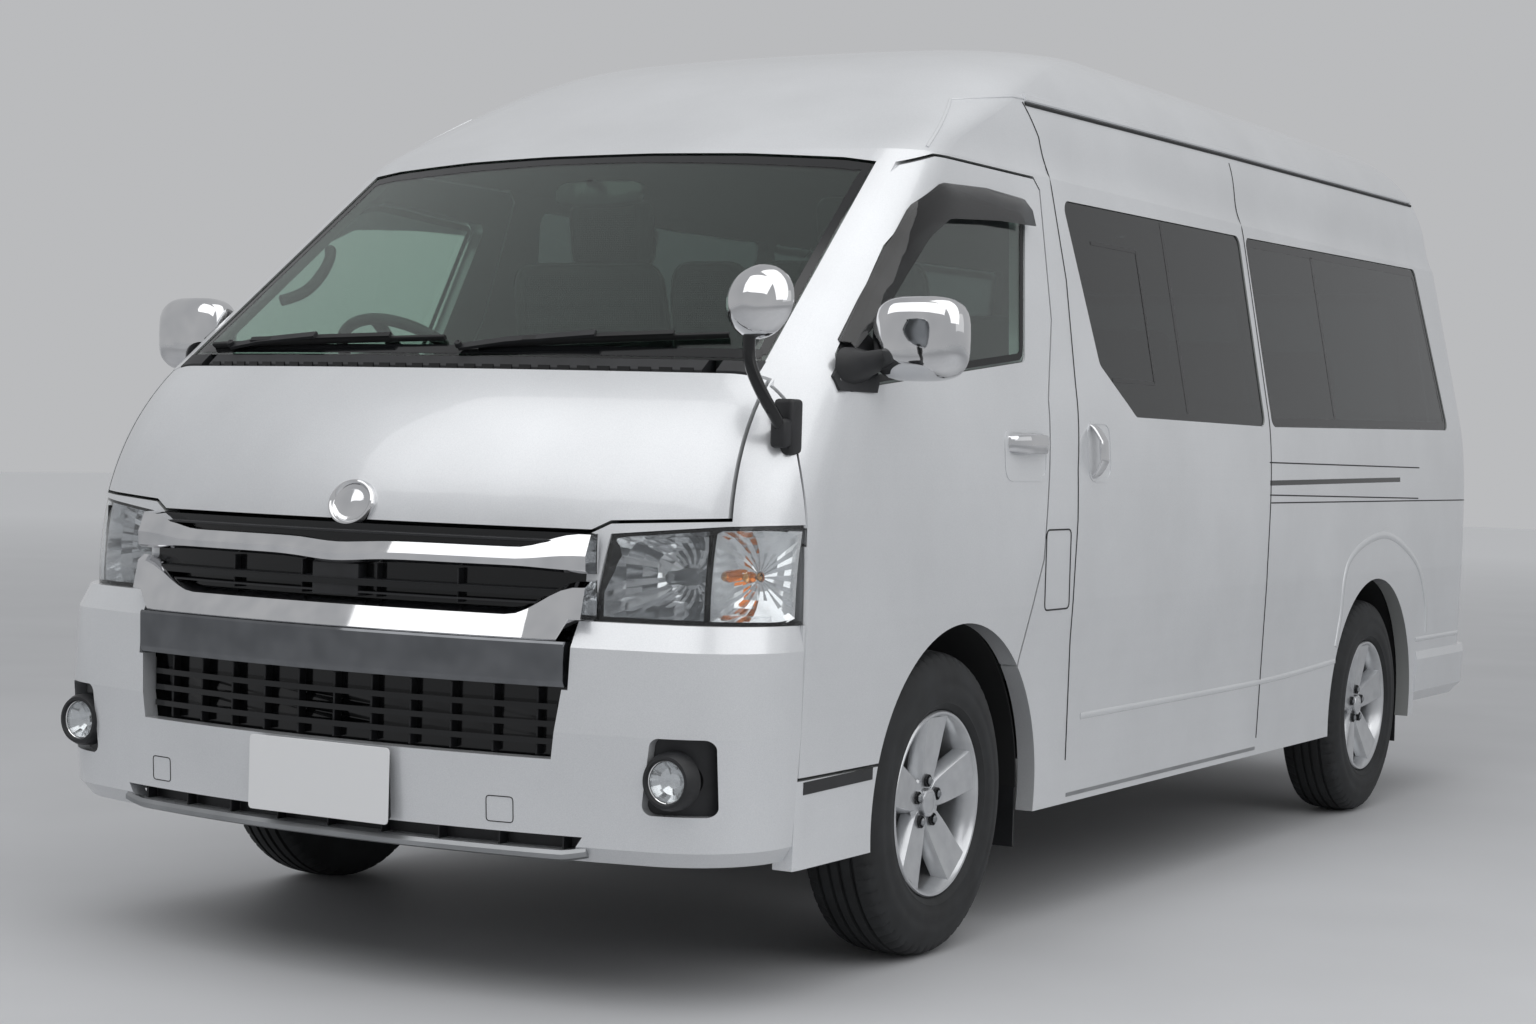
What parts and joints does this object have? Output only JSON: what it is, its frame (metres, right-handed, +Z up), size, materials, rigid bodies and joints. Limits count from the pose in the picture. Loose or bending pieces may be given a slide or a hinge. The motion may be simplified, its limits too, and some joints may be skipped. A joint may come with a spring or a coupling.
{
  "type": "high-roof passenger van",
  "caption": "Long high-roof passenger van with hinged front doors, bonnet and tailgate, a sliding side door, steered front wheels and bench seats.",
  "frame": {"origin": "on the ground, in the middle of the overall length and width", "axes": "+Y towards the tail, +X to the left-hand side of the van, +Z up"},
  "size_m": [2.2536, 5.3799, 2.285],
  "materials": {
    "paint": "silver metallic paint",
    "clear_glass": "green-tinted clear glass",
    "dark_glass": "dark privacy glass",
    "lamp_lens": "clear moulded lens",
    "lamp_housing": "black housing",
    "red_lens": "red lens",
    "black_plastic": "grained black plastic",
    "chrome": "bright chrome plating",
    "chassis_black": "black chassis paint",
    "engine_metal": "bare cast metal",
    "exhaust_steel": "dull steel pipe",
    "seat_fabric": "dark grey woven cloth",
    "tyre": "black rubber",
    "alloy": "silver painted alloy"
  },
  "bodies": {
    "body": {"chassis_frame": "chassis_black", "corner_mirror": "chrome", "cowl": "black_plastic", "dashboard": "black_plastic", "engine": "engine_metal", "exhaust": "exhaust_steel", "floor": "chassis_black", "fog_bezels": "black_plastic", "fog_lamps": "lamp_lens", "front_bumper": "paint", "front_panels_left": "paint", "front_panels_right": "paint", "front_seats": "seat_fabric", "front_suspension": "chassis_black", "fuel_tank": "chassis_black", "grille": "black_plastic", "grille_bars": "chrome", "headlamps": "lamp_lens", "lamp_housings": "lamp_housing", "leaf_springs": "chassis_black", "mud_flaps": "black_plastic", "propshaft": "chassis_black", "rear_axle": "chassis_black", "rear_benches": "seat_fabric", "rear_bumper": "paint", "roof": "paint", "side_glass": "dark_glass", "side_left": "paint", "side_right": "paint", "sliding_door": "paint", "spare_wheel": "tyre", "steering_wheel": "black_plastic", "tail_lamps": "red_lens", "wheel_liners": "black_plastic", "windscreen": "clear_glass"},
    "knuckle_left": {"knuckle_left": "chassis_black"},
    "knuckle_right": {"knuckle_right": "chassis_black"},
    "door_left": {"door_left": "paint", "door_glass_left": "clear_glass", "door_mirror_left": "chrome"},
    "door_right": {"door_right": "paint", "door_glass_right": "clear_glass", "door_mirror_right": "chrome"},
    "tailgate": {"tailgate": "paint", "tailgate_glass": "dark_glass"},
    "bonnet": {"bonnet": "paint"},
    "wheel_fl": {"tyre_front_left": "tyre", "wheel_front_left": "alloy"},
    "wheel_fr": {"tyre_front_right": "tyre", "wheel_front_right": "alloy"},
    "wheel_rl": {"tyre_rear_left": "tyre", "wheel_rear_left": "alloy"},
    "wheel_rr": {"tyre_rear_right": "tyre", "wheel_rear_right": "alloy"}
  },
  "joints": [
    {"name": "steer_left", "type": "hinge", "parent": "body", "child": "knuckle_left", "pos_m": [0.767, -1.63, 0.346], "axis": [0, 0, 1], "range_deg": [-35, 35]},
    {"name": "steer_right", "type": "hinge", "parent": "body", "child": "knuckle_right", "pos_m": [-0.767, -1.63, 0.346], "axis": [0, 0, 1], "range_deg": [-35, 35]},
    {"name": "wheel_fl_spin", "type": "hinge", "parent": "knuckle_left", "child": "wheel_fl", "pos_m": [0.827, -1.63, 0.346], "axis": [1, 0, 0], "continuous": true},
    {"name": "wheel_fr_spin", "type": "hinge", "parent": "knuckle_right", "child": "wheel_fr", "pos_m": [-0.827, -1.63, 0.346], "axis": [1, 0, 0], "continuous": true},
    {"name": "wheel_rl_spin", "type": "hinge", "parent": "body", "child": "wheel_rl", "pos_m": [0.827, 1.48, 0.346], "axis": [1, 0, 0], "continuous": true},
    {"name": "wheel_rr_spin", "type": "hinge", "parent": "body", "child": "wheel_rr", "pos_m": [-0.827, 1.48, 0.346], "axis": [1, 0, 0], "continuous": true},
    {"name": "door_left_hinge", "type": "hinge", "parent": "body", "child": "door_left", "pos_m": [0.92, -2.289, 0.86], "axis": [0, 0, -1], "range_deg": [0, 70]},
    {"name": "door_right_hinge", "type": "hinge", "parent": "body", "child": "door_right", "pos_m": [-0.92, -2.289, 0.86], "axis": [0, 0, 1], "range_deg": [0, 70]},
    {"name": "tailgate_hinge", "type": "hinge", "parent": "body", "child": "tailgate", "pos_m": [0, 2.505, 1.99], "axis": [1, 0, 0], "range_deg": [0, 85]},
    {"name": "bonnet_hinge", "type": "hinge", "parent": "body", "child": "bonnet", "pos_m": [0, -2.272, 1.282], "axis": [-1, 0, 0], "range_deg": [0, 55]}
  ],
  "couplings": [
    {"joint": "steer_right", "follows": "steer_left", "ratio": 1}
  ]
}
